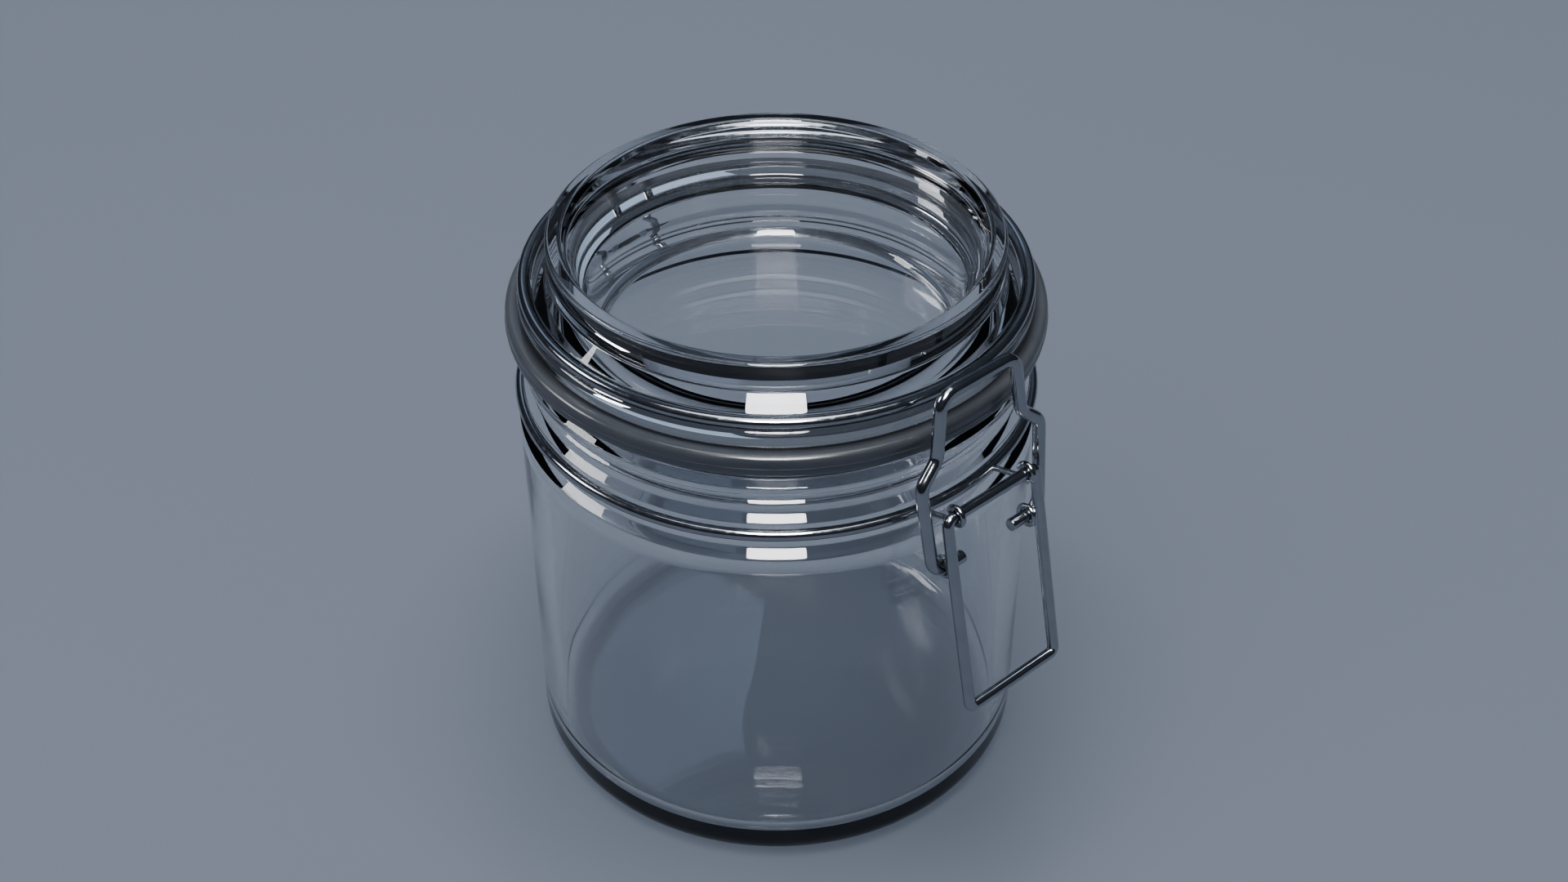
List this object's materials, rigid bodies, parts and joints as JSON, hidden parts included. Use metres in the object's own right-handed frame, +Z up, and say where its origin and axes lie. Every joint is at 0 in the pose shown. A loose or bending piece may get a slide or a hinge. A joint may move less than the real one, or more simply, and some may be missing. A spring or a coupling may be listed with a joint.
{
  "type": "bail clamp jar",
  "caption": "Squat clear glass storage jar with a dished glass lid, a rubber seal, a rear wire hinge and a front wire lever and bail that clamp the lid down.",
  "frame": {"origin": "centre of the jar's flat base, on the jar's axis", "axes": "+Z up along the jar's axis, -Y towards the lever and bail, +Y towards the lid's hinge, +X to the right seen from the clamp"},
  "size_m": [0.1, 0.1218, 0.114],
  "materials": {
    "jar_glass": "clear pressed glass, polished",
    "lid_glass": "clear pressed glass, polished",
    "seal_rubber": "smooth, glossy when wiped",
    "wire_steel": "bright drawn wire"
  },
  "bodies": {
    "jar": {"jar_body": "jar_glass", "neck_wire_ring": "wire_steel", "hinge_bracket": "wire_steel", "lever_eye_left": "wire_steel", "lever_eye_right": "wire_steel"},
    "lid": {"lid_glass": "lid_glass", "gasket": "seal_rubber", "lid_wire_ring": "wire_steel", "lid_hinge_tail_left": "wire_steel", "lid_hinge_tail_right": "wire_steel"},
    "lever": {"lever": "wire_steel", "bail_eye_left": "wire_steel", "bail_eye_right": "wire_steel"},
    "bail": {"bail": "wire_steel"}
  },
  "joints": [
    {"name": "lid_hinge", "type": "hinge", "parent": "jar", "child": "lid", "pos_m": [0, 0.0532, 0.0926], "axis": [-1, 0, 0], "range_deg": [0, 120]},
    {"name": "lever_pivot", "type": "hinge", "parent": "jar", "child": "lever", "pos_m": [0, -0.0559, 0.0862], "axis": [-1, 0, 0], "range_deg": [0, 120]},
    {"name": "bail_pivot", "type": "hinge", "parent": "lever", "child": "bail", "pos_m": [0, -0.0555, 0.0753], "axis": [-1, 0, 0], "range_deg": [-140, 0]}
  ],
  "couplings": [
    {"joint": "bail_pivot", "follows": "lever_pivot", "ratio": -1.15}
  ]
}
